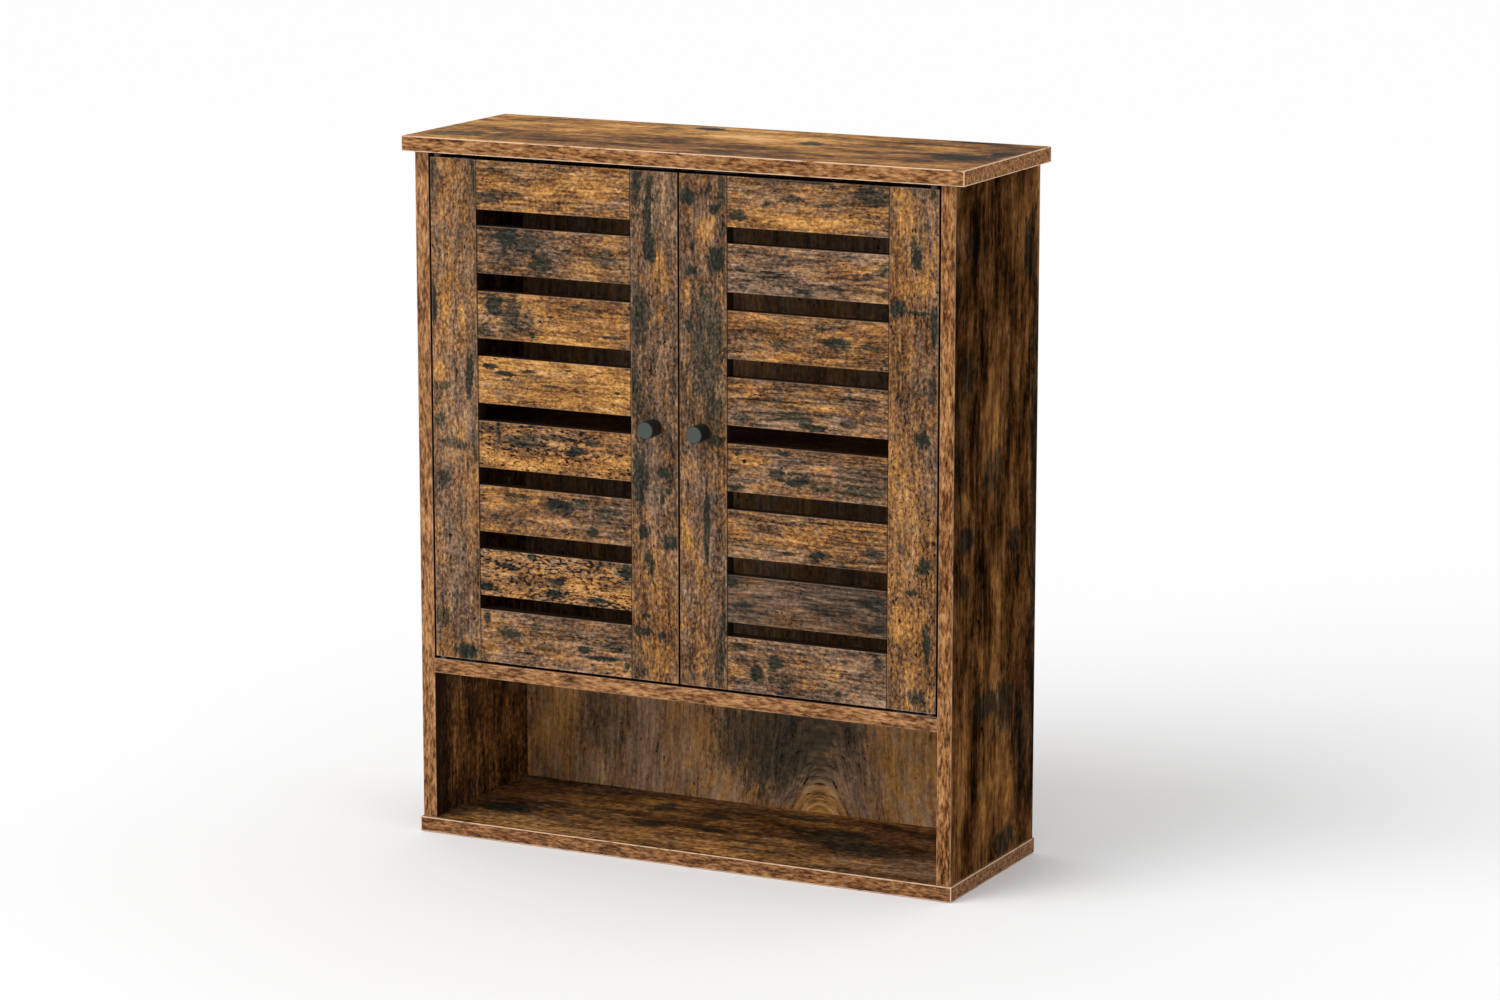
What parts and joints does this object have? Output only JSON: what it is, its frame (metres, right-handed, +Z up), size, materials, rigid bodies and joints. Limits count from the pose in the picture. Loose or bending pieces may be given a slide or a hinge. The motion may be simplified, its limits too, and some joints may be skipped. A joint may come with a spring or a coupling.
{
  "type": "hanging wall cabinet",
  "caption": "Hanging wall cabinet with an open compartment below two inset doors, each a frame with level slats, a round knob and hidden pivot hinges.",
  "frame": {"origin": "on the wall plane, in the middle of the width, at the underside of the bottom board", "axes": "+Z up, +Y into the wall, +X to the right as seen from the front; the doors face -Y"},
  "size_m": [0.6, 0.217, 0.7],
  "materials": {
    "rustic_board": "printed rustic wood foil on particle board, satin-matt",
    "rustic_door_frame": "printed rustic wood foil, upright grain, satin-matt",
    "rustic_slat": "printed rustic wood foil, level grain, satin-matt",
    "back_board": "thin printed hardboard, matt",
    "dowel_beech": "plain fluted beech",
    "knob_black": "matt dark powder coat",
    "hinge_steel": "zinc-plated steel",
    "screw_steel": "zinc-plated steel",
    "cam_zinc": "die-cast zinc",
    "magnet_dark": "ferrite magnet between steel plates",
    "plastic_brown": "moulded plastic"
  },
  "bodies": {
    "carcass": {"top_board": "rustic_board", "bottom_board": "rustic_board", "left_side_panel": "rustic_board", "right_side_panel": "rustic_board", "middle_shelf": "rustic_board", "back_panel": "back_board", "hanging_rail": "rustic_board", "loose_shelf": "rustic_board", "shelf_pins": "screw_steel", "carcass_dowels": "dowel_beech", "cam_bolts": "screw_steel", "cam_locks": "cam_zinc", "long_screws": "screw_steel", "board_pivot_plates": "hinge_steel", "board_pivot_screws": "screw_steel", "pivot_pins": "hinge_steel", "pivot_washers": "plastic_brown", "catch_cases": "plastic_brown", "catch_magnets": "magnet_dark", "catch_screws": "screw_steel"},
    "left_door": {"left_door_hinge_stile": "rustic_door_frame", "left_door_lock_stile": "rustic_door_frame", "left_door_top_rail": "rustic_slat", "left_door_bottom_rail": "rustic_slat", "left_door_rail_dowels": "dowel_beech", "left_door_pivot_plates": "hinge_steel", "left_door_pivot_screws": "screw_steel", "left_door_knob": "knob_black", "left_door_knob_screw": "screw_steel", "left_door_strike_plate": "hinge_steel", "left_door_strike_screw": "screw_steel", "left_door_slat_1": "rustic_slat", "left_door_slat_2": "rustic_slat", "left_door_slat_3": "rustic_slat", "left_door_slat_4": "rustic_slat", "left_door_slat_5": "rustic_slat", "left_door_slat_6": "rustic_slat"},
    "right_door": {"right_door_hinge_stile": "rustic_door_frame", "right_door_lock_stile": "rustic_door_frame", "right_door_top_rail": "rustic_slat", "right_door_bottom_rail": "rustic_slat", "right_door_rail_dowels": "dowel_beech", "right_door_pivot_plates": "hinge_steel", "right_door_pivot_screws": "screw_steel", "right_door_knob": "knob_black", "right_door_knob_screw": "screw_steel", "right_door_strike_plate": "hinge_steel", "right_door_strike_screw": "screw_steel", "right_door_slat_1": "rustic_slat", "right_door_slat_2": "rustic_slat", "right_door_slat_3": "rustic_slat", "right_door_slat_4": "rustic_slat", "right_door_slat_5": "rustic_slat", "right_door_slat_6": "rustic_slat"}
  },
  "joints": [
    {"name": "left_door_hinge", "type": "hinge", "parent": "carcass", "child": "left_door", "pos_m": [-0.2655, -0.1925, 0.4], "axis": [0, 0, -1], "range_deg": [0, 110]},
    {"name": "right_door_hinge", "type": "hinge", "parent": "carcass", "child": "right_door", "pos_m": [0.2655, -0.1925, 0.4], "axis": [0, 0, 1], "range_deg": [0, 110]}
  ]
}
